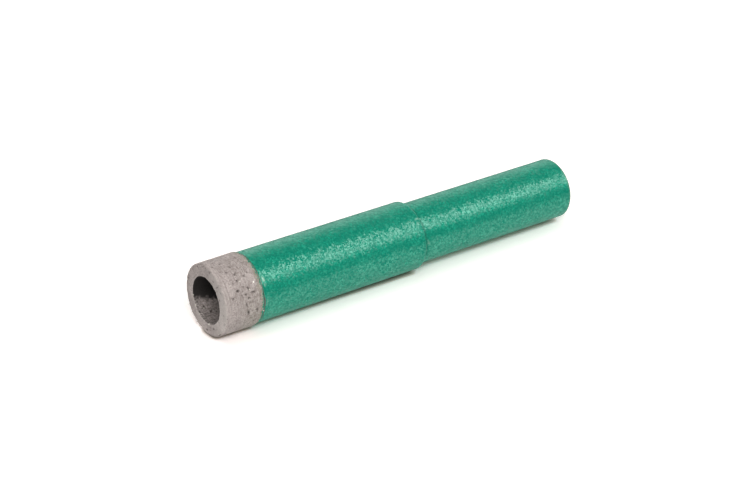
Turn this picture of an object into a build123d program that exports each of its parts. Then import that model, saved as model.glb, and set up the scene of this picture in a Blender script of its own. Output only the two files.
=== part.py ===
"""Diamond core bit, 14 mm: a sintered diamond ring brazed to a turned steel body with a 12 mm straight shank.

The bit stands on its cutting face. The origin is the centre of that face and +Z runs along the axis, from
the cutting face up to the end of the shank. All sizes are in millimetres.
"""

import os
from math import radians, tan

from build123d import *

# Diamond ring: the sintered cutting ring at the lower end
RING_OD = 14.0  # the diameter of the hole that the bit cuts
RING_BORE = 9.0  # the diameter of the core that it leaves
RING_LENGTH = 8.0
RING_TAPER = 0.05  # how far the side leans in, per side, from the back of the ring to the cutting face
RIM_RADIUS = 0.3  # worn round of the outer edge of the cutting face
MOUTH_RADIUS = 0.12  # worn round of the inner edge of the cutting face
RING_BACK_CHAMFER = 0.1

# Brazed joint: the film of silver solder between the ring and the body
BRAZE_THICKNESS = 0.15
BRAZE_BEAD = 0.06  # how far the solder swells out past the side of the body

# Steel body: core barrel, shoulder and straight shank, turned in one piece
KERF_CLEARANCE = 0.25  # the barrel runs this far inside the ring's outer side
CORE_CLEARANCE = 0.3  # the barrel's bore runs this far outside the ring's bore
BARREL_LENGTH = 36.85
BARREL_WEB = 5.0  # solid metal between the full depth of the core bore and the shoulder
DRILL_POINT = 118.0  # included angle of the drilled end of the core bore, in degrees
SHOULDER_ROUND = 0.25
SHOULDER_ROOT = 0.2
SHANK_D = 12.0
SHANK_LENGTH = 37.0
SHANK_CHAMFER = 0.4

# Places along the axis, from the cutting face upwards
ring_back = RING_LENGTH
barrel_end = ring_back + BRAZE_THICKNESS
shoulder = barrel_end + BARREL_LENGTH
shank_end = shoulder + SHANK_LENGTH
core_end = shoulder - BARREL_WEB

# Radii shared by the pieces that meet
ring_r = RING_OD / 2
bore_r = RING_BORE / 2
barrel_r = ring_r - KERF_CLEARANCE
barrel_bore_r = bore_r + CORE_CLEARANCE
shank_r = SHANK_D / 2

os.makedirs("parts", exist_ok=True)

# Diamond ring: a plain ring with a slight taper, rounded where it cuts and chamfered where it is brazed
with BuildPart() as diamond_ring:
    with BuildSketch(Plane.XZ):
        with BuildLine():
            Polyline(
                (bore_r, 0),
                (ring_r - RING_TAPER, 0),
                (ring_r, ring_back),
                (bore_r, ring_back),
                close=True,
            )
        make_face()
    revolve(axis=Axis.Z)
    face_edges = diamond_ring.edges().filter_by(GeomType.CIRCLE).group_by(Axis.Z)[0]
    fillet(face_edges.sort_by(SortBy.RADIUS)[-1], RIM_RADIUS)
    face_edges = diamond_ring.edges().filter_by(GeomType.CIRCLE).group_by(Axis.Z)[0]
    fillet(face_edges.sort_by(SortBy.RADIUS)[0], MOUTH_RADIUS)
    back_edges = diamond_ring.edges().filter_by(GeomType.CIRCLE).group_by(Axis.Z)[-1]
    chamfer(back_edges.sort_by(SortBy.RADIUS)[-1], RING_BACK_CHAMFER)
diamond_ring.part.label = "diamond_ring"

# Brazed joint: a thin washer of solder as wide as the barrel's wall, with a bead swelling out round its edge
with BuildPart() as braze_joint:
    with BuildSketch(Plane.XZ):
        with BuildLine():
            Polyline(
                (barrel_r, ring_back),
                (barrel_bore_r, ring_back),
                (barrel_bore_r, barrel_end),
                (barrel_r, barrel_end),
            )
            ThreePointArc(
                (barrel_r, barrel_end),
                (barrel_r + BRAZE_BEAD, ring_back + BRAZE_THICKNESS / 2),
                (barrel_r, ring_back),
            )
        make_face()
    revolve(axis=Axis.Z)
braze_joint.part.label = "braze_joint"

# Steel body: the turned outside, then the drilled core bore, then the worked edges
with BuildPart() as steel_body:
    with BuildSketch(Plane.XZ):
        with BuildLine():
            Polyline(
                (0, barrel_end),
                (barrel_r, barrel_end),
                (barrel_r, shoulder),
                (shank_r, shoulder),
                (shank_r, shank_end),
                (0, shank_end),
                close=True,
            )
        make_face()
    revolve(axis=Axis.Z)

    drill_point_height = barrel_bore_r / tan(radians(DRILL_POINT / 2))
    with BuildSketch(Plane.XZ):
        with BuildLine():
            Polyline(
                (0, barrel_end),
                (barrel_bore_r, barrel_end),
                (barrel_bore_r, core_end),
                (0, core_end + drill_point_height),
                close=True,
            )
        make_face()
    revolve(axis=Axis.Z, mode=Mode.SUBTRACT)

    # The two rounds of the shoulder share its width, so each takes at most its own part of it
    shoulder_width = abs(barrel_r - shank_r)
    rounds = SHOULDER_ROUND + SHOULDER_ROOT
    fit = min(1.0, 0.9 * shoulder_width / rounds)
    circles = steel_body.edges().filter_by(GeomType.CIRCLE)
    shoulder_edges = circles.filter_by_position(Axis.Z, shoulder, shoulder).sort_by(SortBy.RADIUS)
    fillet(shoulder_edges[-1], SHOULDER_ROUND * fit)
    circles = steel_body.edges().filter_by(GeomType.CIRCLE)
    shoulder_edges = circles.filter_by_position(Axis.Z, shoulder, shoulder).sort_by(SortBy.RADIUS)
    fillet(shoulder_edges[0], SHOULDER_ROOT * fit)
    chamfer(steel_body.edges().filter_by(GeomType.CIRCLE).group_by(Axis.Z)[-1], SHANK_CHAMFER)
steel_body.part.label = "steel_body"

export_step(diamond_ring.part, "parts/diamond_ring.step")
export_step(braze_joint.part, "parts/braze_joint.step")
export_step(steel_body.part, "parts/steel_body.step")
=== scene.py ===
"""Dresses the diamond core bit: sintered ring, brazed joint and painted steel body, in a small studio.

The bit's axis is +Z, with the cutting face at zero and the end of the shank at the top. In the studio it
lies on a table that touches its +Y side, so up is close to -Y there. Blender's unit is the metre, and a
size in millimetres is written times MM.
"""

from __future__ import annotations

import logging
import math
from dataclasses import dataclass
from enum import Enum
from functools import cached_property

import bmesh
import bpy
import numpy as np
from mathutils import Euler, Matrix, Vector, noise

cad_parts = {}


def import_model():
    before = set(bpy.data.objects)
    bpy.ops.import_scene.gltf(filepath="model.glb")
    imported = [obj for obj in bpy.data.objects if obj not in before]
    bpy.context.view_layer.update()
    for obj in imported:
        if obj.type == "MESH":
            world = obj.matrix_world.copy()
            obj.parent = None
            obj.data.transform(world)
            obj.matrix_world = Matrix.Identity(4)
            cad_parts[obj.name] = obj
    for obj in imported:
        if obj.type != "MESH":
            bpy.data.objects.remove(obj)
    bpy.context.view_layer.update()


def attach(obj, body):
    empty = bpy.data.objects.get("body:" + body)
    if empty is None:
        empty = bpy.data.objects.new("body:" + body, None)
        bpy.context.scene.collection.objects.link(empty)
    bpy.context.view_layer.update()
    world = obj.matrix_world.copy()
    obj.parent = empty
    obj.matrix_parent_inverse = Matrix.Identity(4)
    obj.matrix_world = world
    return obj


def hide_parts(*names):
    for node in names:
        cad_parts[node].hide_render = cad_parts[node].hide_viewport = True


LOG = logging.getLogger("core_bit")
MM = 0.001
FULL_TURN = 2 * math.pi
BODY = "root"
BUMP_HEIGHT = 0.05 * MM
SIGNS = ((1, 1), (1, -1), (-1, 1), (-1, -1))
CUBOCTAHEDRON = (
    [(a, b, 0) for a, b in SIGNS] + [(a, 0, b) for a, b in SIGNS] + [(0, a, b) for a, b in SIGNS]
)
Colour = tuple[float, float, float, float]


# ---------------------------------------------------------------- objects, colours and nodes


def add_object(name: str, data: bpy.types.ID) -> bpy.types.Object:
    """Makes an object and puts it in the scene.

    Args:
        name: the object's name.
        data: its mesh, lamp or camera.

    Returns:
        The object.
    """
    added = bpy.data.objects.new(name, data)
    bpy.context.scene.collection.objects.link(added)
    return added


def linear(hex_colour: str) -> Colour:
    """Turns an sRGB hex colour into the linear colour that shaders take.

    Args:
        hex_colour: six hex digits after a #.

    Returns:
        Red, green and blue in linear light, and an alpha of 1.
    """
    digits = hex_colour.lstrip("#")
    channels = [int(digits[place : place + 2], 16) / 255 for place in (0, 2, 4)]
    light = [c / 12.92 if c <= 0.04045 else ((c + 0.055) / 1.055) ** 2.4 for c in channels]
    return (light[0], light[1], light[2], 1.0)


def add_node(
    tree: bpy.types.NodeTree, kind: str, inputs: dict | None = None, **settings: object
) -> bpy.types.Node:
    """Adds a node, sets its fields and fills its sockets.

    Args:
        tree: the node tree that gets the node.
        kind: the node's type without its ShaderNode prefix, such as TexNoise.
        inputs: what goes into each socket, by its name or its place in the list: a value, an output to
            link, or a node whose first output it takes.
        settings: the node's own fields, by name.

    Returns:
        The new node.
    """
    node = tree.nodes.new("ShaderNode" + kind)
    for name, value in settings.items():
        setattr(node, name, value)
    for key, value in (inputs or {}).items():
        by_name = (socket for socket in node.inputs if socket.enabled and socket.name == key)
        target = node.inputs[key] if isinstance(key, int) else next(by_name)
        if isinstance(value, bpy.types.Node):
            value = next(socket for socket in value.outputs if socket.enabled)
        if isinstance(value, bpy.types.NodeSocket):
            tree.links.new(value, target)
        else:
            target.default_value = value
    return node


def add_marks(tree: bpy.types.NodeTree, colour: bpy.types.Node, marks: dict[str, str]) -> bpy.types.Node:
    """Lays a piece's marks over its colour.

    Args:
        tree: the material's node tree.
        colour: gives the colour under the marks.
        marks: the hex colour of each mark, by its name.

    Returns:
        The node that gives the colour with the marks on it.
    """
    for mark, shade in marks.items():
        amount = add_node(tree, "Attribute", attribute_name=mark).outputs["Fac"]
        layer = {"Factor": amount, "A": colour, "B": linear(shade)}
        colour = add_node(tree, "Mix", layer, data_type="RGBA")
    return colour


def new_material(name: str) -> tuple[bpy.types.Material, bpy.types.NodeTree]:
    """Makes a material with an empty node tree.

    Args:
        name: the material's name.

    Returns:
        The material and its node tree.
    """
    material = bpy.data.materials.new(name)
    material.use_nodes = True
    material.node_tree.nodes.clear()
    return material, material.node_tree


# ---------------------------------------------------------------- turned surfaces


@dataclass(frozen=True)
class Corner:
    """A corner of a half section, and the line that leaves it.

    Attributes:
        radius: distance from the axis.
        height: place along the axis.
        rounding: radius of the arc that takes the corner off, or 0 for a sharp one.
        step: distance between the rows on the line that follows.
        slot: material slot of the line that follows.
    """

    radius: float
    height: float
    rounding: float = 0.0
    step: float = 0.5 * MM
    slot: int = 0


@dataclass(frozen=True)
class Skin:
    """A grid of points on a turned surface: a row for each point of its section, a column for each angle.

    Attributes:
        section: radius and height of each row.
        slots: material slot of the faces that follow each row.
        columns: how many points go round.
        closed: whether the last row joins the first, as on a ring.
    """

    section: np.ndarray
    slots: np.ndarray
    columns: int
    closed: bool

    @property
    def angle(self) -> np.ndarray:
        """Angle of every point about the axis, in radians."""
        return np.tile(np.arange(self.columns) * FULL_TURN / self.columns, (len(self.section), 1))

    @property
    def degrees(self) -> np.ndarray:
        """The same angle in degrees, from 0 to 360."""
        return np.degrees(self.angle)

    @property
    def radius(self) -> np.ndarray:
        """Distance of every point from the axis."""
        return np.tile(self.section[:, :1], (1, self.columns))

    @property
    def height(self) -> np.ndarray:
        """Place of every point along the axis."""
        return np.tile(self.section[:, 1:], (1, self.columns))

    @property
    def outward(self) -> np.ndarray:
        """Works out which way each row of points faces.

        Returns:
            Radial and axial part of each row's outward normal.
        """
        before, after = np.roll(self.section, 1, 0), np.roll(self.section, -1, 0)
        if not self.closed:
            before[0], after[-1] = self.section[0], self.section[-1]
        along = after - before
        normal = np.stack([along[:, 1], -along[:, 0]], 1)
        return normal / np.maximum(np.linalg.norm(normal, axis=1, keepdims=True), 1e-12)

    def away_from(self, radius: float, height: float) -> np.ndarray:
        """Distance of every point from a circle about the axis, of this radius and at this height."""
        return np.hypot(self.radius - radius, self.height - height)

    def places(self, relief: np.ndarray | float = 0.0, slide: np.ndarray | float = 0.0) -> np.ndarray:
        """Works out where every point goes.

        Args:
            relief: how far each point is pushed out along its normal.
            slide: how far each point is pushed along the axis.

        Returns:
            Points in space, rows by columns by 3.
        """
        radius = self.radius + self.outward[:, :1] * relief
        height = self.height + self.outward[:, 1:] * relief + slide
        return np.stack([radius * np.cos(self.angle), radius * np.sin(self.angle), height], 2)

    def noise(self, across: float, seed: int, along: float | None = None, octaves: int = 2) -> np.ndarray:
        """Reads smooth noise at every point.

        Args:
            across: how wide its lumps are across the axis.
            seed: picks the pattern.
            along: how long they are along the axis, if not as wide.
            octaves: how many layers of finer lumps it has.

        Returns:
            A number for each point, mostly between -1 and 1.
        """
        shift = Vector((17.3, 31.7, 53.1)) * seed
        points = self.places().reshape(-1, 3) / (across, across, along or across)
        found = [noise.fractal(Vector(point) + shift, 1.0, 2.0, octaves) for point in points]
        return np.array(found).reshape(self.angle.shape)


def rounded(before: np.ndarray, corner: np.ndarray, after: np.ndarray, radius: float) -> np.ndarray:
    """Takes a corner off with an arc.

    Args:
        before: the corner before it.
        corner: the corner itself.
        after: the corner after it.
        radius: the arc's radius.

    Returns:
        The arc's points, or the corner alone where the radius is 0.
    """
    if radius == 0:
        return corner[None]
    arrive, leave = corner - before, after - corner
    arrive, leave = arrive / np.linalg.norm(arrive), leave / np.linalg.norm(leave)
    turn = math.atan2(arrive[0] * leave[1] - arrive[1] * leave[0], float(arrive @ leave))
    start = corner - arrive * radius * math.tan(abs(turn) / 2)
    centre = start + np.array([-arrive[1], arrive[0]]) * math.copysign(radius, turn)
    swing = np.linspace(0, turn, max(4, math.ceil(abs(turn) * radius / (0.08 * MM)) + 1))
    spoke = start - centre
    across = spoke[0] * np.cos(swing) - spoke[1] * np.sin(swing)
    up = spoke[0] * np.sin(swing) + spoke[1] * np.cos(swing)
    return centre + np.stack([across, up], 1)


def trace(corners: list[Corner], columns: int, closed: bool) -> Skin:
    """Turns the corners of a half section into the rows of a skin.

    Args:
        corners: the section's corners, which run with the solid on their left.
        columns: how many points go round.
        closed: whether the last corner joins the first.

    Returns:
        The skin, with its corners rounded and its lines divided.
    """
    spots = [np.array([corner.radius, corner.height]) for corner in corners]
    count = len(corners)
    arcs = [
        rounded(spots[place - 1], spots[place], spots[(place + 1) % count], corners[place].rounding)
        for place in range(count)
    ]
    rows: list[np.ndarray] = []
    slots: list[int] = []
    for place, corner in enumerate(corners):
        rows += list(arcs[place])
        slots += [corners[place - 1].slot] * (len(arcs[place]) - 1) + [corner.slot]
        if closed or place < count - 1:
            start, end = arcs[place][-1], arcs[(place + 1) % count][0]
            parts = max(1, round(float(np.linalg.norm(end - start)) / corner.step))
            rows += [start + (end - start) * part / parts for part in range(1, parts)]
            slots += [corner.slot] * (parts - 1)
    return Skin(np.array(rows), np.array(slots), columns, closed)


def turned_piece(
    name: str,
    skin: Skin,
    places: np.ndarray,
    materials: list[bpy.types.Material],
    marks: dict[str, np.ndarray],
) -> bpy.types.Object:
    """Makes a smooth closed mesh from a skin.

    Args:
        name: the object's name.
        skin: says which points join.
        places: where the points are, as Skin.places gives them.
        materials: one material for each slot.
        marks: a number for each point, for the materials to read by name.

    Returns:
        The object, linked to the scene.
    """
    rows, columns = skin.angle.shape
    index = np.arange(rows * columns).reshape(rows, columns)
    on_axis = skin.section[:, 0] < 1e-9
    index[on_axis] = index[on_axis, :1]
    following = np.roll(index, -1, 1)
    faces: list[list[int]] = []
    slots: list[int] = []
    for low in range(rows if skin.closed else rows - 1):
        high = (low + 1) % rows
        for quad in zip(index[low], following[low], following[high], index[high]):
            faces.append(list(dict.fromkeys(map(int, quad))))
        slots += [int(skin.slots[low])] * columns
    mesh = bpy.data.meshes.new(name)
    mesh.from_pydata(places.reshape(-1, 3).tolist(), [], faces)
    mesh.polygons.foreach_set("material_index", slots)
    mesh.polygons.foreach_set("use_smooth", [True] * len(faces))
    for mark, values in marks.items():
        layer = mesh.attributes.new(mark, "FLOAT", "POINT")
        layer.data.foreach_set("value", values.astype(np.float32).ravel())
    shape = bmesh.new()
    shape.from_mesh(mesh)
    bmesh.ops.delete(shape, geom=[point for point in shape.verts if not point.link_faces], context="VERTS")
    shape.to_mesh(mesh)
    shape.free()
    for material in materials:
        mesh.materials.append(material)
    return add_object(name, mesh)


def close_to(values: np.ndarray, start: float, end: float) -> np.ndarray:
    """Fades smoothly from 1 where values are at start to 0 where they are at end."""
    share = np.clip((values - end) / (start - end), 0, 1)
    return share * share * (3 - 2 * share)


# ---------------------------------------------------------------- finishes


@dataclass(frozen=True)
class SinteredMatrix:
    """The ring's cobalt and bronze powder, hot pressed and then dressed on a stone.

    Attributes:
        grain: colour of the dressed grains.
        hollow: colour between the grains.
        fleck_and_highlight: the few grains that the stone has polished, and the painted light on the face
            and round the mouth.
        binder: brownish bronze between the grains where the ring is coarse.
        pore_grime_and_shade: colour at the bottom of a pore, its grime with painted shade in the hollow.
        stain: tint beside the brazed joint.
        soot_and_shade: the film that the graphite mould leaves in the bore, also laid on as painted shade
            where the bore is unlit.
        paint: overspray from the body.
        grain_width: how wide one pressed grain is.
        mottle_width: how wide the flecks and the brown patches are.
        cloud_width: how wide the lighter and darker areas are.
        drawn: how much flatter both are along the axis than round it.
        groove_width: how wide one dressing groove is.
        groove_length: how far it runs round the ring.
        metallic: low, because the open texture of a dressed sinter scatters most of the light.
        roughness: matte.
        bump: how strong the grain's relief is.
    """

    grain: str = "#c7bbb6"
    hollow: str = "#8f8480"
    fleck_and_highlight: str = "#ddd6cf"
    binder: str = "#72685f"
    pore_grime_and_shade: str = "#3b332d"
    stain: str = "#8e8b74"
    soot_and_shade: str = "#1b1917"
    paint: str = "#15876d"
    grain_width: float = 0.26 * MM
    mottle_width: float = 0.42 * MM
    cloud_width: float = 1.4 * MM
    drawn: float = 0.6
    groove_width: float = 0.20 * MM
    groove_length: float = 6.25 * MM
    metallic: float = 0.25
    roughness: float = 0.66
    bump: float = 0.5

    def material(self) -> bpy.types.Material:
        """Makes the matrix: to the eye a matte warm grey of pressed grains, with pores and faint grooves.

        Returns:
            The material, which reads the piece's marks: coarse texture, the face's painted light, stains,
            the bore's film with painted shade, the pores' grime with painted shade, and overspray.
        """
        material, tree = new_material("sintered_matrix_hot_pressed")
        place = add_node(tree, "TexCoord").outputs["Object"]
        pressed = {"Vector": place, "Scale": 1 / self.grain_width, "Detail": 3.0}
        grains = add_node(tree, "TexNoise", pressed | {"Roughness": 0.6, "Distortion": 0.8})
        flat = add_node(tree, "Mapping", {"Vector": place, "Scale": (self.drawn, self.drawn, 1.0)})
        mottled = {"Vector": flat, "Scale": 1 / self.mottle_width, "Detail": 2.0, "Distortion": 0.8}
        mottle = add_node(tree, "TexNoise", mottled)
        mottles = add_node(tree, "SeparateColor", {"Color": mottle.outputs["Color"]})
        clouds = add_node(tree, "TexNoise", {"Vector": flat, "Scale": 1 / self.cloud_width, "Detail": 2.0})
        shades = add_node(tree, "SeparateColor", {"Color": clouds.outputs["Color"]})
        across, along = 1 / self.groove_length, 1 / self.groove_width
        stretched = add_node(tree, "Mapping", {"Vector": place, "Scale": (across, across, along)})
        grooves = add_node(tree, "TexNoise", {"Vector": stretched, "Scale": 1.0, "Detail": 2.0})
        coarse = add_node(tree, "Attribute", attribute_name="coarse").outputs["Fac"]
        spread = add_node(tree, "MapRange", {"Value": grains, "From Min": 0.34, "From Max": 0.62})
        powder = {"Factor": spread, "A": linear(self.hollow), "B": linear(self.grain)}
        colour = add_node(tree, "Mix", powder, data_type="RGBA")
        # Each layer: its pattern, where that starts and is full, its strength, its place and its colour.
        layers = (
            (clouds.outputs["Fac"], 0.42, 0.66, 0.55, None, self.grain),
            (shades.outputs["Green"], 0.50, 0.66, 0.24, None, self.binder),
            (grooves.outputs["Fac"], 0.48, 0.66, 0.55, None, self.hollow),
            (mottles.outputs["Red"], 0.46, 0.68, 0.55, coarse, self.binder),
            (mottles.outputs["Green"], 0.54, 0.72, 0.45, coarse, self.fleck_and_highlight),
        )
        for pattern, start, full, strength, where, shade in layers:
            reach = {"Value": pattern, "From Min": start, "From Max": full, "To Max": strength}
            amount = add_node(tree, "MapRange", reach)
            if where:
                amount = add_node(tree, "Math", {0: amount, 1: where}, operation="MULTIPLY")
            layer = {"Factor": amount, "A": colour, "B": linear(shade)}
            colour = add_node(tree, "Mix", layer, data_type="RGBA")
        # Among these marks, the face's lighter side and mouth line are painted light, the pores are
        # darkened with grime and painted shade, and the bore is blackened with the mould's film and
        # painted shade.
        marks = {"painted_face_light": self.fleck_and_highlight, "stain": self.stain, "soot_and_shade": self.soot_and_shade, "pit_grime_and_shade": self.pore_grime_and_shade}
        colour = add_marks(tree, colour, marks | {"overspray": self.paint})
        relief = {"Height": grains.outputs["Fac"], "Strength": self.bump, "Distance": BUMP_HEIGHT}
        inputs = {"Base Color": colour, "Metallic": self.metallic, "Roughness": self.roughness}
        shader = add_node(tree, "BsdfPrincipled", inputs | {"Normal": add_node(tree, "Bump", relief)})
        add_node(tree, "OutputMaterial", {"Surface": shader})
        return material


@dataclass(frozen=True)
class DiamondCrystal:
    """Synthetic diamond grit, as grown: pale straw yellow.

    Attributes:
        clear: tint of its clearer parts.
        clouded: tint where it holds traces of metal.
        patch_width: how wide those parts are.
        ior: a diamond's, which makes its facets flash.
        roughness: nearly smooth facets.
    """

    clear: str = "#f4f1e8"
    clouded: str = "#cdc7b2"
    patch_width: float = 0.5 * MM
    ior: float = 2.42
    roughness: float = 0.12

    def material(self) -> bpy.types.Material:
        """Makes the crystal: to the eye a small bright point that flashes as the light moves.

        Returns:
            The material.
        """
        material, tree = new_material("diamond_grit_synthetic")
        place = add_node(tree, "TexCoord").outputs["Object"]
        cloudy = {"Vector": place, "Scale": 1 / self.patch_width, "Detail": 1.0}
        patches = add_node(tree, "TexNoise", cloudy)
        tints = {"Factor": patches, "A": linear(self.clouded), "B": linear(self.clear)}
        colour = add_node(tree, "Mix", tints, data_type="RGBA")
        inputs = {"Base Color": colour, "IOR": self.ior, "Roughness": self.roughness}
        add_node(tree, "OutputMaterial", {"Surface": add_node(tree, "BsdfPrincipled", inputs)})
        return material


@dataclass(frozen=True)
class SilverSolder:
    """Silver brazing alloy, melted into the joint and left as it froze.

    Attributes:
        bright: colour of the clean alloy.
        dull: colour where the flux and the heat have stained it.
        paint: overspray from the body, which hides most of it.
        patch_width: how wide the stained patches are.
        roughness: a frozen melt, half dull.
        bump: how strong its ripples are.
    """

    bright: str = "#b3a67c"
    dull: str = "#6a6346"
    paint: str = "#24997f"
    patch_width: float = 0.6 * MM
    roughness: float = 0.45
    bump: float = 0.4

    def material(self) -> bpy.types.Material:
        """Makes the alloy: to the eye a thin line that changes from green to straw yellow and brown.

        Returns:
            The material.
        """
        material, tree = new_material("silver_solder_brazed")
        place = add_node(tree, "TexCoord").outputs["Object"]
        stained = {"Vector": place, "Scale": 1 / self.patch_width, "Detail": 3.0}
        patches = add_node(tree, "TexNoise", stained)
        spread = add_node(tree, "MapRange", {"Value": patches, "From Min": 0.38, "From Max": 0.60})
        alloy = {"Factor": spread, "A": linear(self.dull), "B": linear(self.bright)}
        colour = add_node(tree, "Mix", alloy, data_type="RGBA")
        covered = add_node(tree, "SeparateColor", {"Color": patches.outputs["Color"]}).outputs["Green"]
        spray = add_node(tree, "MapRange", {"Value": covered, "From Min": 0.30, "From Max": 0.42})
        bare = add_node(tree, "Math", {0: 1.0, 1: spray}, operation="SUBTRACT")
        painted = {"Factor": spray, "A": colour, "B": linear(self.paint)}
        colour = add_node(tree, "Mix", painted, data_type="RGBA")
        ripples = {"Height": patches.outputs["Fac"], "Strength": self.bump, "Distance": BUMP_HEIGHT}
        inputs = {"Base Color": colour, "Metallic": bare, "Roughness": self.roughness}
        shader = add_node(tree, "BsdfPrincipled", inputs | {"Normal": add_node(tree, "Bump", ripples)})
        add_node(tree, "OutputMaterial", {"Surface": shader})
        return material


@dataclass(frozen=True)
class MetallicPaint:
    """Green metallic enamel, sprayed on the turned steel.

    Attributes:
        deep: colour of the coloured lacquer.
        light: colour of its paler specks.
        worn: olive brown where the coat is thin over an edge.
        pooling_and_shade: darker, where the wet paint has gathered in a corner, and as painted shade where
            the shoulder shades the shank.
        edge_highlight: pale, painted as highlights where edges of the coat catch the light.
        metallic: how much of the light comes back tinted, from flakes deep in the lacquer.
        roughness: spread of that light, because the deep flakes lie at all angles.
        shine: low, because the flakes near the surface do the shining.
        flake_width: of the flakes near the surface, drawn as coarse as a render can show.
        flake_tilt: how far they lean from the surface.
        flake_cover: share of the surface that they cover at most.
        flake_ior: makes them shine more than bare lacquer.
        flake_roughness: of their own faces.
        cloud_width: how wide the patches of a sprayed coat are.
        cloud_strength: how much deeper those patches are.
    """

    deep: str = "#0c886f"
    light: str = "#16b491"
    worn: str = "#8b7d55"
    pooling_and_shade: str = "#0a5a49"
    edge_highlight: str = "#b9dcc6"
    metallic: float = 0.28
    roughness: float = 0.42
    shine: float = 0.04
    flake_width: float = 0.26 * MM
    flake_tilt: float = 0.25
    flake_cover: float = 0.66
    flake_ior: float = 2.3
    flake_roughness: float = 0.22
    cloud_width: float = 2.5 * MM
    cloud_strength: float = 0.4

    def material(self) -> bpy.types.Material:
        """Makes the paint: to the eye a satin green whose highlights break up into fine pale specks.

        Returns:
            The material, which reads three marks: thin paint, pooled paint with painted shade, and painted
                highlights on the coat's edges.
        """
        material, tree = new_material("green_metallic_enamel_sprayed")
        place = add_node(tree, "TexCoord").outputs["Object"]
        flakes = add_node(tree, "TexVoronoi", {"Vector": place, "Scale": 1 / self.flake_width})
        cells = flakes.outputs["Color"]
        chance = add_node(tree, "SeparateColor", {"Color": cells}).outputs["Red"]
        squared = add_node(tree, "Math", {0: chance, 1: chance}, operation="MULTIPLY")
        lacquer = {"Factor": squared, "A": linear(self.deep), "B": linear(self.light)}
        colour = add_node(tree, "Mix", lacquer, data_type="RGBA")
        cloudy = {"Vector": place, "Scale": 1 / self.cloud_width, "Detail": 3.0}
        clouds = add_node(tree, "TexNoise", cloudy)
        reach = {"Value": clouds, "From Min": 0.35, "From Max": 0.65, "To Max": self.cloud_strength}
        sprayed = {"Factor": add_node(tree, "MapRange", reach), "A": colour, "B": linear(self.deep)}
        colour = add_node(tree, "Mix", sprayed, data_type="RGBA")
        marks = {"thin": self.worn, "pooling_and_shade": self.pooling_and_shade, "edge_highlight": self.edge_highlight}
        cover = add_node(tree, "Math", {0: chance, 1: self.flake_cover}, operation="MULTIPLY")
        tilt = (self.flake_tilt,) * 3
        half = (-self.flake_tilt / 2,) * 3
        swing = add_node(tree, "VectorMath", {0: cells, 1: tilt, 2: half}, operation="MULTIPLY_ADD")
        surface = add_node(tree, "NewGeometry").outputs["Normal"]
        leaning = add_node(tree, "VectorMath", {0: surface, 1: swing}, operation="ADD")
        inputs = {
            "Base Color": add_marks(tree, colour, marks),
            "Metallic": self.metallic,
            "Roughness": self.roughness,
            "Specular IOR Level": self.shine,
            "Coat Weight": cover,
            "Coat Roughness": self.flake_roughness,
            "Coat IOR": self.flake_ior,
            "Coat Normal": add_node(tree, "VectorMath", {0: leaning}, operation="NORMALIZE"),
        }
        add_node(tree, "OutputMaterial", {"Surface": add_node(tree, "BsdfPrincipled", inputs)})
        return material


@dataclass(frozen=True)
class DrilledSteel:
    """Carbon steel, bare inside the barrel, as the drill left it.

    Attributes:
        colour: the steel's own grey.
        film: the dry film of dust and oil on it.
        ring_width: how far apart the drill's marks are.
        ring_length: how far one of them runs round the wall.
        roughness: a drilled wall.
        bump: how strong the marks are.
    """

    colour: str = "#8f8d8a"
    film: str = "#4e4a45"
    ring_width: float = 0.35 * MM
    ring_length: float = 11.11 * MM
    roughness: float = 0.42
    bump: float = 0.3

    def material(self) -> bpy.types.Material:
        """Makes the drilled wall: to the eye dull grey steel with fine rings round the bore.

        Returns:
            The material.
        """
        material, tree = new_material("carbon_steel_drilled")
        place = add_node(tree, "TexCoord").outputs["Object"]
        across, along = 1 / self.ring_length, 1 / self.ring_width
        stretched = add_node(tree, "Mapping", {"Vector": place, "Scale": (across, across, along)})
        rings = add_node(tree, "TexNoise", {"Vector": stretched, "Scale": 1.0, "Detail": 2.0})
        filmed = {"Factor": rings, "A": linear(self.film), "B": linear(self.colour)}
        colour = add_node(tree, "Mix", filmed, data_type="RGBA")
        relief = {"Height": rings.outputs["Fac"], "Strength": self.bump, "Distance": BUMP_HEIGHT}
        inputs = {"Base Color": colour, "Metallic": 1.0, "Roughness": self.roughness}
        shader = add_node(tree, "BsdfPrincipled", inputs | {"Normal": add_node(tree, "Bump", relief)})
        add_node(tree, "OutputMaterial", {"Surface": shader})
        return material


# ---------------------------------------------------------------- small marks


class Wall(Enum):
    """The walls that small marks show on, by the way each one faces: outwards and upwards."""

    SIDE = (1, 0)
    FACE = (0, -1)
    BORE = (-1, 0)


@dataclass(frozen=True)
class Spot:
    """A pore, a painted highlight on the paint or a crystal.

    Attributes:
        wall: the wall that it is on.
        angle: degrees about the axis, from +X towards +Y.
        along: height on the side and in the bore, or distance from the axis on the face.
        width: how wide it is.
        length: how long it is.
        turn: angle of its length from the way round the axis, in degrees.
        strength: how deep the pore, how pale the painted highlight or how proud the crystal, up to 1.
    """

    wall: Wall
    angle: float
    along: float
    width: float
    length: float
    turn: float
    strength: float


def spots_on(wall: Wall, *rows: tuple[float, ...]) -> list[Spot]:
    """Places spots on one wall.

    Args:
        wall: the wall.
        rows: a spot's fields after its wall, with its place, width and length in millimetres.

    Returns:
        The spots.
    """
    return [
        Spot(wall, angle, along * MM, width * MM, length * MM, turn, strength)
        for angle, along, width, length, turn, strength in rows
    ]


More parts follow.
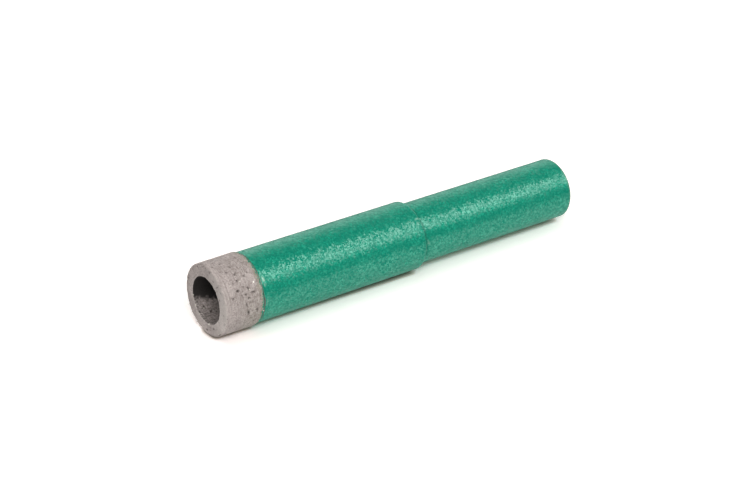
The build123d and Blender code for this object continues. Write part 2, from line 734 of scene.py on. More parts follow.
def spotted(skin: Skin, spots: list[Spot], seed: int) -> np.ndarray:
    """Works out how deep in a spot each point is.

    Args:
        skin: the points.
        spots: pores or painted highlights.
        seed: picks how the spots' edges wander.

    Returns:
        0 outside the spots, and up to their strength in their middles.
    """
    wobble = 1 + 0.5 * skin.noise(0.3 * MM, seed)
    deepest = np.zeros(skin.angle.shape)
    for spot in spots:
        rows = np.flatnonzero(skin.outward @ spot.wall.value > 0.6)
        away = (skin.angle[rows] - math.radians(spot.angle) + math.pi) % FULL_TURN - math.pi
        across = away * skin.radius[rows]
        along = (skin.radius if spot.wall is Wall.FACE else skin.height)[rows] - spot.along
        cosine, sine = math.cos(math.radians(spot.turn)), math.sin(math.radians(spot.turn))
        lengthways = (across * cosine + along * sine) / spot.length
        sideways = (along * cosine - across * sine) / spot.width
        depth = spot.strength * np.exp(-((2 * np.hypot(lengthways, sideways) * wobble[rows]) ** 2.4))
        deepest[rows] = np.maximum(deepest[rows], depth)
    return deepest


# ---------------------------------------------------------------- the ring


@dataclass(frozen=True)
class DiamondRing:
    """The sintered cutting ring, with its pores, dressing grooves, ragged rim and diamond grit.

    Attributes:
        outer_radius: at the back of the ring.
        taper: how far the side leans in on its way to the cutting face.
        bore_radius: of the core that it leaves.
        length: along the axis.
        rim_rounding: worn round of the outer edge of the face.
        mouth_rounding: worn round of the inner edge of the face.
        back_chamfer: at the outer edge of the back.
        columns: points round the ring.
        step: distance between points along it.
        pore_count: small pores scattered over its walls.
        grit_count: small crystals scattered over its walls.
        stain_height: where the yellowed band at the back starts.
        allowance: how far the plain walls lie inside the ring's own size, so that the relief stays in it.
        clearance: how far the crystals stay inside that size.
        wave_height: of the long waves in its walls.
        grain_height: of the pressed grain.
        groove_height: of the dressing grooves.
        chip_depth: of the deepest chips in the rim.
        pore_depth: of the deepest pores.
    """

    outer_radius: float = 7.0 * MM
    taper: float = 0.05 * MM
    bore_radius: float = 4.5 * MM
    length: float = 8.0 * MM
    rim_rounding: float = 0.4 * MM
    mouth_rounding: float = 0.12 * MM
    back_chamfer: float = 0.1 * MM
    columns: int = 440
    step: float = 0.1 * MM
    pore_count: int = 220
    grit_count: int = 90
    stain_height: float = 6.8 * MM
    allowance: float = 0.03 * MM
    clearance: float = 0.002 * MM
    wave_height: float = 0.020 * MM
    grain_height: float = 0.018 * MM
    groove_height: float = 0.020 * MM
    chip_depth: float = 0.26 * MM
    pore_depth: float = 0.13 * MM

    @cached_property
    def skin(self) -> Skin:
        """Lays the ring's points: face outwards, side up, back inwards and bore down.

        Returns:
            The points.
        """
        fine, coarse = self.step, 4 * self.step
        corners = [
            Corner(self.bore_radius, 0, self.mouth_rounding, fine),
            Corner(self.outer_radius - self.taper, 0, self.rim_rounding, fine),
            Corner(self.outer_radius, self.length - self.back_chamfer, 0, fine),
            Corner(self.outer_radius - self.back_chamfer, self.length, 0, coarse),
            Corner(self.bore_radius, self.length, 0, 1.5 * fine),
        ]
        return trace(corners, self.columns, closed=True)

    @cached_property
    def side(self) -> np.ndarray:
        """How squarely each row of points faces outwards: 1 on the side and 0 on the other walls."""
        return np.clip(self.skin.outward[:, :1], 0, 1)

    def large_pores(self) -> list[Spot]:
        """Places the pores that stand out from the rest.

        Returns:
            The pores, each as a spot.
        """
        on_side = spots_on(
            Wall.SIDE,
            (-31, 3.1, 0.52, 0.54, 0, 1.0),
            (-56, 3.8, 0.34, 0.65, 60, 0.8),
            (-46, 3.7, 0.34, 0.41, 0, 1.0),
            (-50, 5.4, 0.34, 0.37, 0, 0.87),
            (-30, 5.3, 0.40, 0.65, 35, 0.87),
            (-23, 6.1, 0.34, 0.97, 80, 0.87),
            (-22, 4.5, 0.36, 0.65, 70, 0.8),
            (-16, 4.9, 0.38, 0.43, 0, 0.87),
            (-7, 4.3, 0.38, 0.86, 10, 0.72),
            (7, 4.7, 0.49, 0.86, 15, 1.0),
            (-22, 1.8, 0.38, 0.41, 0, 0.87),
            (6, 6.5, 0.40, 0.65, 20, 0.8),
            (-72, 3.8, 0.29, 0.54, 30, 0.72),
            (-64, 2.6, 0.31, 0.49, 50, 0.72),
            (-84, 2.8, 0.29, 0.65, 75, 0.72),
            (-83, 1.0, 0.29, 0.43, 20, 0.72),
            (48, 0.9, 0.40, 0.86, 10, 1.0),
        )
        on_face = spots_on(
            Wall.FACE,
            (-76, 6.5, 0.27, 0.49, 70, 0.72),
            (-114, 6.4, 0.31, 0.39, 0, 0.87),
            (-62, 5.6, 0.27, 0.35, 0, 0.72),
            (-48, 5.8, 0.25, 0.59, 80, 0.72),
            (65, 5.4, 0.34, 0.37, 0, 1.0),
            (91, 6.0, 0.38, 0.41, 0, 1.0),
            (52, 6.8, 0.38, 0.65, 5, 1.0),
        )
        in_bore = spots_on(Wall.BORE, (136, 1.5, 0.43, 0.48, 0, 1.0), (120, 2.4, 0.38, 0.54, 40, 1.0))
        return on_side + on_face + in_bore

    def large_grit(self) -> list[Spot]:
        """Places the crystals that catch the light.

        Returns:
            The crystals, each as a spot.
        """
        on_side = spots_on(
            Wall.SIDE,
            (-36.5, 6.7, 0.54, 0.54, 0, 1.0),
            (-28, 5.5, 0.34, 0.34, 0, 0.8),
            (-44, 4.2, 0.38, 0.38, 0, 0.8),
            (-42, 2.0, 0.26, 0.30, 0, 0.8),
            (-24, 0.9, 0.24, 0.26, 0, 0.8),
            (13, 7.9, 0.30, 0.30, 0, 1.0),
        )
        at_mouth = spots_on(
            Wall.FACE,
            (170, 4.62, 0.32, 0.32, 0, 1.0),
            (146, 4.58, 0.34, 0.34, 0, 1.0),
            (123, 4.62, 0.28, 0.28, 0, 1.0),
            (82, 4.64, 0.34, 0.34, 0, 1.0),
            (101, 4.66, 0.24, 0.24, 0, 1.0),
        )
        in_bore = spots_on(Wall.BORE, (133, 1.4, 0.28, 0.28, 0, 1.0))
        at_rim = spots_on(
            Wall.FACE,
            (113, 6.90, 0.22, 0.22, 0, 1.0),
            (121, 6.92, 0.30, 0.30, 0, 1.0),
            (126, 6.88, 0.20, 0.20, 0, 1.0),
            (138, 6.90, 0.26, 0.26, 0, 1.0),
            (151, 6.92, 0.22, 0.22, 0, 1.0),
        )
        return on_side + at_mouth + in_bore + at_rim

    def scattered(self, count: int, seed: int, least: float, most: float) -> list[Spot]:
        """Scatters spots over the three walls, most of them on the back half of the side.

        Args:
            count: how many spots.
            seed: picks the pattern.
            least: width of the smallest.
            most: width of the largest.

        Returns:
            The spots.
        """
        dice = np.random.default_rng(seed)
        spots = []
        for number in range(count):
            wall = (Wall.SIDE, Wall.SIDE, Wall.SIDE, Wall.FACE, Wall.BORE)[number % 5]
            if wall is Wall.FACE:
                along = dice.uniform(self.bore_radius + 0.3 * MM, self.outer_radius - 0.3 * MM)
            elif wall is Wall.SIDE:
                along = self.length * dice.beta(2.2, 1.6)
            else:
                along = self.length * dice.uniform(0.04, 0.96)
            width = least + (most - least) * dice.random() ** 2
            length = width * dice.uniform(1, 1.7)
            strength = dice.uniform(0.25, 0.75)
            angle, turn = dice.uniform(0, 360), dice.uniform(0, 90)
            spots.append(Spot(wall, angle, along, width, length, turn, strength))
        return spots

    def relief(self, pits: np.ndarray) -> np.ndarray:
        """Works out how far each point is pushed out, so that no point leaves the ring's own size.

        Args:
            pits: how deep into a pore each point is.

        Returns:
            The push along the normal, which is never outwards.
        """
        skin = self.skin
        back_half = close_to(skin.height, self.length, 0.3 * self.length)
        waves = self.wave_height * skin.noise(3.0 * MM, 1)
        grains = self.grain_height * skin.noise(0.40 * MM, 2, octaves=3) * (0.6 + 0.6 * back_half)
        grooves = self.groove_height * self.side * skin.noise(7.0 * MM, 3, along=0.28 * MM)
        at_rim = close_to(skin.away_from(self.outer_radius - self.taper, 0), 0, 0.60 * MM)
        at_mouth = close_to(skin.away_from(self.bore_radius, 0), 0, 0.35 * MM)
        ragged = np.clip(skin.noise(0.45 * MM, 4, octaves=3) + 0.1, 0, 1)
        edge_marks = self.chip_depth * ragged * (at_rim + 0.6 * at_mouth)
        rough = waves + grains + grooves - edge_marks - self.pore_depth * pits
        return np.minimum(rough - self.allowance, 0)

    def soot_and_shade(self) -> np.ndarray:
        """Works out how dark the bore is, with painted light and shade: grey on its +Y side, black
        elsewhere.

        Returns:
            0 where the matrix is bare and up to 1 where it is black.
        """
        skin = self.skin
        inside = np.clip(-skin.outward[:, :1], 0, 1)
        # The grey patch on the +Y side of the mouth is painted light, where the light falls in; the black
        # elsewhere is the mould's film deepened as painted shade.
        edge = 165 - 5 * skin.height / MM + 7 * skin.noise(0.8 * MM, 6)
        worn = close_to(skin.degrees, edge - 7, edge + 7) * close_to(-skin.degrees, -50, -20)
        deeper = np.clip(skin.height / (4 * MM), 0, 1)
        dust = np.clip(0.54 + 0.24 * deeper + 0.62 * skin.noise(0.32 * MM, 7, octaves=3), 0.05, 0.95)
        return inside * (0.97 - worn * dust)

    def overspray(self) -> np.ndarray:
        """Works out where the body's paint has crept over the ring's back edge, in uneven teeth.

        Returns:
            0 where the matrix is bare and 1 where it is green.
        """
        skin = self.skin
        sprayed = 0.7 * MM * np.clip(np.cos(skin.angle - math.radians(70)), 0, 1)
        teeth = np.clip(0.2 + skin.noise(0.45 * MM, 12, octaves=3), 0, 1)
        uneven = 0.6 + 0.5 * skin.noise(0.4 * MM, 13, octaves=3)
        reach = 0.05 * MM + 0.42 * MM * teeth + sprayed * uneven
        return self.side * close_to(self.length - skin.height, reach - 0.06 * MM, reach + 0.08 * MM)

    def painted_face_light(self) -> np.ndarray:
        """Works out the face's painted light: lighter on its +X side, and a painted highlight round the
        mouth.

        Returns:
            0 where the matrix is dull and up to 1 where it is brightest.
        """
        skin = self.skin
        face = np.clip(-skin.outward[:, 1:], 0, 1)
        one_side = 0.40 * face * np.clip(np.cos(skin.angle + math.radians(10)), 0, 1)
        outside = close_to(-skin.radius, -self.bore_radius - 0.04 * MM, -self.bore_radius)
        line = close_to(skin.away_from(self.bore_radius, 0), 0.12 * MM, 0.30 * MM) * outside
        return np.clip(one_side + 0.30 * line * (1 + skin.noise(0.6 * MM, 14)), 0, 1)

    def stains(self) -> np.ndarray:
        """Works out where the heat of brazing has yellowed the side.

        Returns:
            0 where the matrix is clean and up to 1 where it is yellowest.
        """
        skin = self.skin
        band = close_to(skin.height + 0.5 * MM * skin.noise(0.9 * MM, 9), self.length, self.stain_height)
        one_side = np.clip(np.cos(skin.angle - math.radians(60)), 0, 1)
        back = close_to(skin.height, 5.5 * MM, 2.5 * MM) * one_side
        return self.side * (0.50 * band + 0.22 * back)

    def crystals(self, spots: list[Spot]) -> bpy.types.Object:
        """Grows the diamond grit: blunt little crystals, sunk in the ring and dressed to its size.

        Args:
            spots: where the crystals are.

        Returns:
            One object with all of them.
        """
        dice = np.random.default_rng(8)
        shape = bmesh.new()
        limit = self.outer_radius - self.clearance
        for spot in spots:
            turn = math.radians(spot.angle)
            outwards, upwards = spot.wall.value
            facing = Vector((outwards * math.cos(turn), outwards * math.sin(turn), upwards))
            if spot.wall is Wall.FACE:
                place = Vector((spot.along * math.cos(turn), spot.along * math.sin(turn), 0))
            else:
                lean = self.taper * (1 - spot.along / self.length)
                radius = self.outer_radius - lean if spot.wall is Wall.SIDE else self.bore_radius
                place = Vector((radius * math.cos(turn), radius * math.sin(turn), spot.along))
            size = spot.width / 2
            tilt = Euler(dice.uniform(0, math.pi, 3)).to_matrix()
            points = [Vector(np.array(corner) * dice.uniform(0.62, 0.78)) for corner in CUBOCTAHEDRON]
            sunk = place - facing * size * (1.0 - 0.5 * spot.strength)
            corners = [shape.verts.new(sunk + tilt @ point * size) for point in points]
            for corner in corners:
                x, y, z = corner.co
                inwards = min(1.0, limit / math.hypot(x, y))
                corner.co = (x * inwards, y * inwards, max(z, self.clearance))
            hull = bmesh.ops.convex_hull(shape, input=corners)
            spare = {point for point in hull["geom_interior"] if isinstance(point, bmesh.types.BMVert)}
            bmesh.ops.delete(shape, geom=list(spare), context="VERTS")
        mesh = bpy.data.meshes.new("diamond_grit")
        shape.to_mesh(mesh)
        shape.free()
        mesh.materials.append(DiamondCrystal().material())
        return add_object("diamond_grit", mesh)

    def build(self) -> list[bpy.types.Object]:
        """Builds the ring and its grit, and dresses both.

        Returns:
            The ring's matrix and its crystals.
        """
        skin = self.skin
        small_pores = self.scattered(self.pore_count, 3, 0.16 * MM, 0.34 * MM)
        pits = spotted(skin, self.large_pores() + small_pores, 5)
        marks = {
            # pores darkened with grime and with painted shade in their hollows
            "pit_grime_and_shade": pits,
            "coarse": 0.30 + 0.70 * self.side * close_to(skin.height, 6.5 * MM, 2.0 * MM),
            # painted light: the face's +X side, and a painted highlight round the mouth
            "painted_face_light": self.painted_face_light(),
            "stain": self.stains(),
            # the bore's black film, deepened as painted shade, with a painted light patch on its +Y side
            "soot_and_shade": self.soot_and_shade(),
            "overspray": self.overspray(),
        }
        places = skin.places(self.relief(pits))
        matrix = turned_piece("diamond_ring_matrix", skin, places, [SinteredMatrix().material()], marks)
        small_grit = self.scattered(self.grit_count, 8, 0.12 * MM, 0.24 * MM)
        outside = [spot for spot in small_grit if spot.wall is not Wall.BORE]
        grit = self.crystals(self.large_grit() + outside)
        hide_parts("diamond_ring")
        for piece in (matrix, grit):
            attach(piece, BODY)
        return [matrix, grit]


# ---------------------------------------------------------------- the brazed joint


@dataclass(frozen=True)
class BrazeJoint:
    """The film of silver solder between the ring and the body, with an uneven bead round its edge.

    Attributes:
        inner_radius: at the barrel's bore.
        outer_radius: at the barrel's side.
        bead: how far the bead swells out past the side.
        bottom: height of its lower face.
        thickness: along the axis.
        unevenness: how far its edge wanders in.
        step: distance between points round the bead's section.
        columns: points round the joint.
    """

    inner_radius: float = 4.8 * MM
    outer_radius: float = 6.75 * MM
    bead: float = 0.06 * MM
    bottom: float = 8.0 * MM
    thickness: float = 0.15 * MM
    unevenness: float = 0.05 * MM
    step: float = 0.05 * MM
    columns: int = 400

    def build(self) -> list[bpy.types.Object]:
        """Builds the film and its bead, and dresses them.

        Returns:
            The joint, alone in a list.
        """
        top, middle = self.bottom + self.thickness, self.bottom + self.thickness / 2
        corners = [
            Corner(self.inner_radius, self.bottom),
            Corner(self.outer_radius, self.bottom, 0, self.step),
            Corner(self.outer_radius + self.bead, middle, 0.04 * MM, self.step),
            Corner(self.outer_radius, top),
            Corner(self.inner_radius, top),
        ]
        skin = trace(corners, self.columns, closed=True)
        outer = close_to(-skin.radius, -self.outer_radius, -(self.outer_radius - 0.2 * MM))
        relief = np.minimum(self.unevenness * (skin.noise(0.7 * MM, 11, octaves=3) - 0.35), 0) * outer
        joint = turned_piece("braze_bead", skin, skin.places(relief), [SilverSolder().material()], {})
        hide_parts("braze_joint")
        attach(joint, BODY)
        return [joint]


# ---------------------------------------------------------------- the steel body


@dataclass(frozen=True)
class SteelBody:
    """The turned steel body, painted outside and bare inside: core barrel, shoulder and shank.

    Attributes:
        barrel_radius: outside of the barrel.
        bore_radius: of the drilled core bore.
        bottom: height of the end that is brazed.
        bore_end: height where the full width of the bore ends.
        bore_tip: height of the drill's point.
        shoulder: height of the step between the barrel and the shank.
        top: height of the end of the shank.
        shank_radius: outside of the shank.
        mouth_rounding: how the paint rounds the barrel's edge at the joint.
        shoulder_round: convex round of the shoulder.
        shoulder_root: concave round where the shank leaves the shoulder.
        end_chamfer: at the end of the shank.
        end_rounding: how the paint rounds that chamfer's edges.
        columns: points round the body.
        step: distance between points along it.
        peel_height: of the orange peel in the sprayed coat.
        wave_height: of the long waves in the turned steel.
        allowance: how far the painted walls lie inside the body's own size, so that both stay in it.
        gap_depth: how far the paint stops short of the joint in its deepest gaps.
        notch_depth: the same in the one bare notch on the +X side.
    """

    barrel_radius: float = 6.75 * MM
    bore_radius: float = 4.8 * MM
    bottom: float = 8.15 * MM
    bore_end: float = 40.0 * MM
    bore_tip: float = 42.88 * MM
    shoulder: float = 45.0 * MM
    top: float = 82.0 * MM
    shank_radius: float = 6.0 * MM
    mouth_rounding: float = 0.10 * MM
    shoulder_round: float = 0.25 * MM
    shoulder_root: float = 0.20 * MM
    end_chamfer: float = 0.4 * MM
    end_rounding: float = 0.12 * MM
    columns: int = 360
    step: float = 0.40 * MM
    peel_height: float = 0.004 * MM
    wave_height: float = 0.010 * MM
    allowance: float = 0.012 * MM
    gap_depth: float = 0.14 * MM
    notch_depth: float = 0.20 * MM

    @cached_property
    def skin(self) -> Skin:
        """Lays the body's points: down the bore from the drill's point, out, and up the outside.

        Returns:
            The points.
        """
        bare, fine, coarse = 1, 0.06 * MM, 0.8 * MM
        corners = [
            Corner(0, self.bore_tip, 0, coarse, bare),
            Corner(self.bore_radius, self.bore_end, 0, coarse, bare),
            Corner(self.bore_radius, self.bottom, 0, coarse, bare),
            Corner(self.barrel_radius, self.bottom, self.mouth_rounding, fine),
            Corner(self.barrel_radius, self.bottom + 0.7 * MM, 0, self.step),
            Corner(self.barrel_radius, self.shoulder, self.shoulder_round, fine),
            Corner(self.shank_radius, self.shoulder, self.shoulder_root, self.step),
            Corner(self.shank_radius, self.top - self.end_chamfer, self.end_rounding, fine),
            Corner(self.shank_radius - self.end_chamfer, self.top, self.end_rounding, coarse),
            Corner(0, self.top),
        ]
        return trace(corners, self.columns, closed=False)

    def relief(self) -> np.ndarray:
        """Works out the orange peel of the sprayed coat, and the waves of the turned steel under it.

        Returns:
            The push along the normal, which is never outwards.
        """
        painted = self.skin.outward @ (1, 0) > -0.5
        peel = self.peel_height * self.skin.noise(0.9 * MM, 21)
        waves = self.wave_height * self.skin.noise(6.0 * MM, 22)
        return np.minimum(peel + waves - self.allowance, 0) * painted[:, None]

    def ragged_edge(self) -> np.ndarray:
        """Works out how far the paint stops short of the joint.

        Returns:
            The push along the axis.
        """
        skin = self.skin
        near = close_to(skin.height, self.bottom, self.bottom + 0.6 * MM)
        outside = skin.radius > self.barrel_radius - 0.05 * MM
        gaps = np.clip(skin.noise(0.6 * MM, 23, octaves=3) + 0.05, 0, 1)
        notch = close_to(np.abs((skin.degrees + 181) % 360 - 180), 4, 10)
        return near * outside * np.maximum(self.gap_depth * gaps, self.notch_depth * notch)

    def thin_paint(self) -> np.ndarray:
        """Works out where the coat is thin: in places at the joint, and round the far end.

        Returns:
            0 where the coat is full and up to 1 where it is thinnest.
        """
        skin = self.skin
        edge = skin.away_from(self.shank_radius, self.top - self.end_chamfer)
        at_end = close_to(edge, 0.15 * MM, 0.40 * MM)
        at_joint = close_to(np.abs(skin.height - self.bottom), 0, 0.30 * MM)
        wear = 0.18 * at_end + 0.30 * at_joint
        return np.clip(wear * (1 + 0.7 * skin.noise(0.8 * MM, 24)), 0, 1)

    def root_pooling_and_shade(self) -> np.ndarray:
        """Works out where the coat is dark: thick paint in the shoulder's root, and painted shade just up
        the shank.

        Returns:
            0 on the plain sides and up to 1 where it is darkest.
        """
        skin = self.skin
        near_shank = skin.radius <= self.shank_radius + 0.3 * MM
        root = close_to(np.abs(skin.height - self.shoulder), 0.50 * MM, 0.85 * MM) * near_shank
        return np.clip(0.45 * root * (1 + 0.6 * skin.noise(1.2 * MM, 25)), 0, 1)

    def edge_marks(self) -> list[Spot]:
        """Places the pale painted highlights along the edges of the coat, at the joint and round the
        shoulder.
        """
        return spots_on(
            Wall.SIDE,
            (-37, 8.80, 0.34, 0.90, 12, 0.75),
            (-27, 8.75, 0.22, 0.90, 4, 0.30),
            (1, 8.75, 0.20, 1.30, 0, 0.30),
            (-52, 44.55, 0.50, 0.40, 0, 0.45),
            (-45, 44.45, 0.40, 0.60, 0, 0.20),
            (-6, 46.00, 0.35, 0.70, 0, 0.22),
        )

    def build(self) -> list[bpy.types.Object]:
        """Builds the body and dresses it.

        Returns:
            The body, alone in a list.
        """
        places = self.skin.places(self.relief(), self.ragged_edge())
        materials = [MetallicPaint().material(), DrilledSteel().material()]
        # pale spots painted as highlights along the coat's edges
        edge_highlight = spotted(self.skin, self.edge_marks(), 26)
        # Of these marks, the shoulder's root is thick paint darkened further as painted shade, and the
        # pale spots are painted highlights.
        marks = {"thin": self.thin_paint(), "pooling_and_shade": self.root_pooling_and_shade(), "edge_highlight": edge_highlight}
        body = turned_piece("painted_body", self.skin, places, materials, marks)
        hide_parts("steel_body")
        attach(body, BODY)
        return [body]


# ---------------------------------------------------------------- the studio


@dataclass(frozen=True)
class Softbox:
    """A large soft white lamp, far enough away to light the whole bit evenly.

    Attributes:
        name: the lamp's name.
        azimuth: degrees round the table, from the ring's end of the bit towards +X.
        elevation: degrees above the table.
        spread: how wide the lamp looks from the bit, in degrees.
        strength: how bright it makes a white surface that faces it, where 1 is white.
    """

    name: str
    azimuth: float
    elevation: float
    spread: float
    strength: float


@dataclass(frozen=True)
class Studio:
    """The white table that the bit lies on, the lamps and the sky round it, and the camera.

    Attributes:
        ring_touch: radius and height where the back of the ring touches the table.
        barrel_touch: radius and height where the shoulder touches it.
        aim: the point that the camera looks at.
        distance: from that point to the camera.
        azimuth: of the camera, in degrees round the table from the ring's end of the bit towards +X.
        elevation: of the camera, in degrees above the table.
        sensor_width: of the camera, in millimetres.
        lens: its focal length, in millimetres.
        table_width: of the square table.
        table_white: how much light the table gives back beside the bit.
        table_far: the same further out, where a shaded table keeps the bit's reflections crisp.
        table_lit: half width and half length of the patch that isn't shaded.
        table_fade: where the shade starts and is full, as shares of those.
        table_seen: red, green and blue of the table to the camera, to whom it is as white as the sky.
        contact_widths: how far from the bit the table darkens, beside the ring and beside the shank.
        contact_tint: what the darkest part of that is multiplied by.
        contact_ends: how open to the sky the table is where that tint is full, and where it ends.
        screen_top: sines of elevation at which the pale screen behind the bit starts to fade and ends.
        screen_edge: cosines of the turn from its middle at which it ends and is full sideways.
        screen_drop: how fast its sides close in below the table.
        fill: brightness of the dim side of the sky.
        backdrop: extra brightness of the screen.
        lamps: the lamps.
    """

    ring_touch: tuple[float, float] = (7.0 * MM, 8.0 * MM)
    barrel_touch: tuple[float, float] = (6.75 * MM, 45.0 * MM)
    aim: tuple[float, float, float] = (-1.61 * MM, -0.13 * MM, 38.93 * MM)
    distance: float = 385.94 * MM
    azimuth: float = 53.72
    elevation: float = 26.98
    sensor_width: float = 36.0
    lens: float = 97.16
    table_width: float = 6.0
    table_white: float = 0.86
    table_far: float = 0.20
    table_lit: tuple[float, float] = (30 * MM, 72 * MM)
    table_fade: tuple[float, float] = (0.7, 1.6)
    table_seen: Colour = (1.32, 1.25, 1.215, 1.0)
    contact_widths: tuple[float, float] = (0.68 * MM, 1.10 * MM)
    contact_tint: Colour = (1.0, 0.93, 0.80, 1.0)
    contact_ends: tuple[float, float] = (0.2, 0.9)
    screen_top: tuple[float, float] = (0.50, 0.80)
    screen_edge: tuple[float, float] = (-0.2, 0.35)
    screen_drop: float = 1.3
    fill: float = 0.03
    backdrop: float = 1.20
    lamps: tuple[Softbox, ...] = (
        Softbox("key", azimuth=130.8, elevation=37, spread=35, strength=0.20),
        Softbox("front", azimuth=62, elevation=40, spread=36, strength=0.55),
        Softbox("window", azimuth=75, elevation=6, spread=22, strength=0.12),
        Softbox("low", azimuth=12, elevation=30, spread=36, strength=0.10),
        Softbox("top", azimuth=15, elevation=80, spread=44, strength=0.22),
        Softbox("under", azimuth=255, elevation=-25, spread=60, strength=0.40),
    )

    @property
    def up(self) -> Vector:
        """Finds the way up from the table, which leans because the ring is wider than the barrel.

        Returns:
            The direction, one long.
        """
        (near_radius, near_height), (far_radius, far_height) = self.ring_touch, self.barrel_touch
        lean = math.atan2(near_radius - far_radius, far_height - near_height)
        return Vector((0, -math.cos(lean), -math.sin(lean)))

    def toward(self, azimuth: float, elevation: float) -> Vector:
        """Finds a direction over the table.

        Args:
            azimuth: degrees round the table from the ring's end of the bit towards +X.
            elevation: degrees above the table.

        Returns:
            The direction, one long.
        """
        ahead = Vector((1, 0, 0)).cross(self.up)
        turn, rise = math.radians(azimuth), math.radians(elevation)
        level = ahead * math.cos(turn) + Vector((1, 0, 0)) * math.sin(turn)
        return level * math.cos(rise) + self.up * math.sin(rise)

    def facing(self, place: Vector, back: Vector) -> Matrix:
        """Places a camera or lamp level with the table.

        Args:
            place: where it stands.
            back: the direction away from what it looks at.

        Returns:
            Its place and turn in space.
        """
        across = self.up.cross(back).normalized()
        frame = Matrix((across, back.cross(across), back)).transposed()
        return Matrix.Translation(place) @ frame.to_4x4()

    def build_camera(self) -> None:
        """Stands the camera in front of the ring's end, looking down at the middle of the bit."""
        camera = add_object("camera", bpy.data.cameras.new("camera"))
        camera.data.sensor_fit = "HORIZONTAL"
        camera.data.sensor_width = self.sensor_width
        camera.data.lens = self.lens
        camera.data.clip_start = 10 * MM
        back = self.toward(self.azimuth, self.elevation)
        camera.matrix_world = self.facing(Vector(self.aim) + back * self.distance, back)
        bpy.context.scene.camera = camera

    def build_lamp(self, box: Softbox) -> None:
        """Hangs a lamp over the table, or under it.

        Args:
            box: the lamp's place and brightness.
        """
        lamp = bpy.data.lights.new(box.name, "SUN")
        lamp.energy = box.strength * math.pi
        lamp.angle = math.radians(box.spread)
        back = self.toward(box.azimuth, box.elevation)
        add_object(box.name, lamp).matrix_world = self.facing(back, back)

    def build_sky(self) -> None:
        """Surrounds the table with a pale screen behind and a dimmer room above and in front.

        The camera sees plain white everywhere, and so do reflections towards the screen.
        """
        world = bpy.data.worlds.new("studio_sky")
        bpy.context.scene.world = world
        world.use_nodes = True
        tree = world.node_tree
        tree.nodes.clear()
        view = add_node(tree, "TexCoord").outputs["Generated"]
        away = self.toward(self.azimuth + 180, 0)
        rise, behind = (
            add_node(tree, "VectorMath", {0: view, 1: way}, operation="DOT_PRODUCT").outputs["Value"]
            for way in (self.up, away)
        )
        start, end = self.screen_top
        fading = {"Value": rise, "From Min": start, "From Max": end, "To Min": 1.0, "To Max": 0.0}
        low = add_node(tree, "MapRange", fading, interpolation_type="SMOOTHSTEP")
        sunk = add_node(tree, "Math", {0: rise, 1: 0.0}, operation="MINIMUM")
        leaning = {0: sunk, 1: self.screen_drop, 2: behind}
        turned = add_node(tree, "Math", leaning, operation="MULTIPLY_ADD")
        end, full = self.screen_edge
        closing = {"Value": turned, "From Min": end, "From Max": full}
        sideways = add_node(tree, "MapRange", closing, interpolation_type="SMOOTHSTEP")
        screen = add_node(tree, "Math", {0: low, 1: sideways}, operation="MULTIPLY")
        brightness = {"Value": screen, "To Min": self.fill, "To Max": self.fill + self.backdrop}
        glow = add_node(tree, "MapRange", brightness)
        rays = add_node(tree, "LightPath").outputs
        straight = {0: rays["Is Camera Ray"], 1: rays["Is Transmission Ray"]}
        direct = add_node(tree, "Math", straight, operation="MAXIMUM")
        mirrored = add_node(tree, "Math", {0: rays["Is Glossy Ray"], 1: screen}, operation="MULTIPLY")
        plain = add_node(tree, "Math", {0: direct, 1: mirrored}, operation="MAXIMUM")
        room, white = (
            add_node(tree, "Background", {"Color": linear("#ffffff"), "Strength": strength})
            for strength in (glow, 1.0)
        )
        sky = add_node(tree, "MixShader", {0: plain, 1: room, 2: white})
        add_node(tree, "OutputWorld", {"Surface": sky})

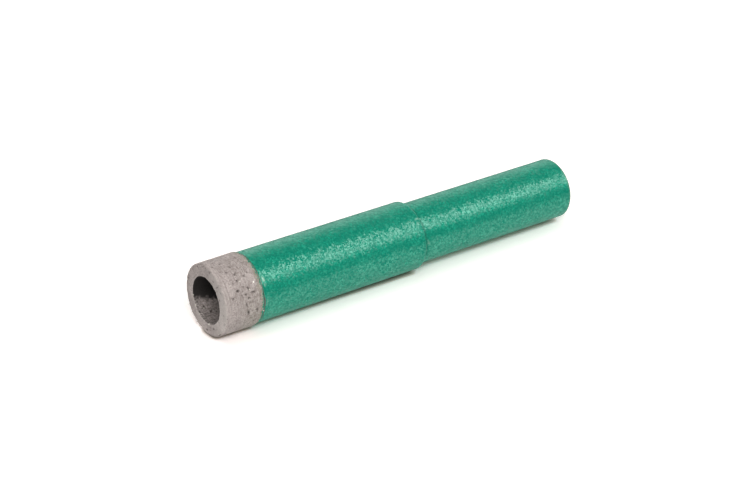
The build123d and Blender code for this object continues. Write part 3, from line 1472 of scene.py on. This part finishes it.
    def card(self) -> bpy.types.Material:
        """Makes the table's card: to the eye as white as the sky, with a narrow shadow under the bit.

        Returns:
            The material, which the camera sees through from behind.
        """
        material, tree = new_material("white_card_matte")
        seen = add_node(tree, "LightPath").outputs["Is Camera Ray"]
        place = add_node(tree, "NewGeometry").outputs["Position"]
        wide, long = self.table_lit
        shift, scale = (0, 0, -self.aim[2] / long), (1 / wide, 0, 1 / long)
        centred = add_node(tree, "Mapping", {"Vector": place, "Location": shift, "Scale": scale})
        far = add_node(tree, "VectorMath", {0: centred}, operation="LENGTH").outputs["Value"]
        start, end = self.table_fade
        fading = {"Value": far, "From Min": start, "From Max": end}
        white = add_node(tree, "MapRange", fading | {"To Min": self.table_white, "To Max": self.table_far})
        height = add_node(tree, "SeparateXYZ", {"Vector": place}).outputs["Z"]
        stretch = {"Value": height, "From Min": self.ring_touch[1], "From Max": self.barrel_touch[1]}
        at_ring, at_shank = self.contact_widths
        reach = add_node(tree, "MapRange", stretch | {"To Min": at_ring, "To Max": at_shank})
        contact = add_node(tree, "AmbientOcclusion", {"Color": self.table_seen, "Distance": reach})
        full, end = self.contact_ends
        openness = {"Value": contact.outputs["AO"], "From Min": full, "From Max": end}
        shade = add_node(tree, "MapRange", openness)
        tints = {"Factor": shade, "A": self.contact_tint, "B": linear("#ffffff")}
        tint = add_node(tree, "Mix", tints, data_type="RGBA")
        card = {"Factor": 1.0, "A": contact.outputs["Color"], "B": tint}
        tinted = add_node(tree, "Mix", card, data_type="RGBA", blend_type="MULTIPLY")
        lit, bright = (add_node(tree, "BsdfDiffuse", {"Color": colour}) for colour in (white, tinted))
        front = add_node(tree, "MixShader", {0: seen, 1: lit, 2: bright})
        behind = add_node(tree, "NewGeometry").outputs["Backfacing"]
        hidden = add_node(tree, "Math", {0: behind, 1: seen}, operation="MULTIPLY")
        clear = add_node(tree, "BsdfTransparent")
        either = add_node(tree, "MixShader", {0: hidden, 1: front, 2: clear})
        add_node(tree, "OutputMaterial", {"Surface": either})
        return material

    def build_table(self) -> None:
        """Lays the white table against the bit. From behind it doesn't hide the bit from the camera."""
        radius, height = self.ring_touch
        middle, half = Vector((0, radius, height)), self.table_width / 2
        across, ahead = Vector((half, 0, 0)), Vector((half, 0, 0)).cross(self.up)
        mesh = bpy.data.meshes.new("table")
        corners = [middle + across * i + ahead * j for i, j in ((1, 1), (1, -1), (-1, -1), (-1, 1))]
        mesh.from_pydata(corners, [], [(0, 1, 2, 3)])
        mesh.materials.append(self.card())
        table = add_object("table", mesh)
        table.visible_shadow = False

    def build(self) -> None:
        """Builds the camera, the table, the sky and the lamps."""
        bpy.context.scene.view_settings.view_transform = "Standard"
        self.build_camera()
        self.build_table()
        self.build_sky()
        for box in self.lamps:
            self.build_lamp(box)


def main() -> None:
    """Builds the studio and the bit."""
    logging.basicConfig(level=logging.INFO, format="%(name)s: %(message)s")
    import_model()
    Studio().build()
    for assembly in (DiamondRing(), BrazeJoint(), SteelBody()):
        for piece in assembly.build():
            LOG.info("%s: %d faces", piece.name, len(piece.data.polygons))


if __name__ == "__main__":
    main()
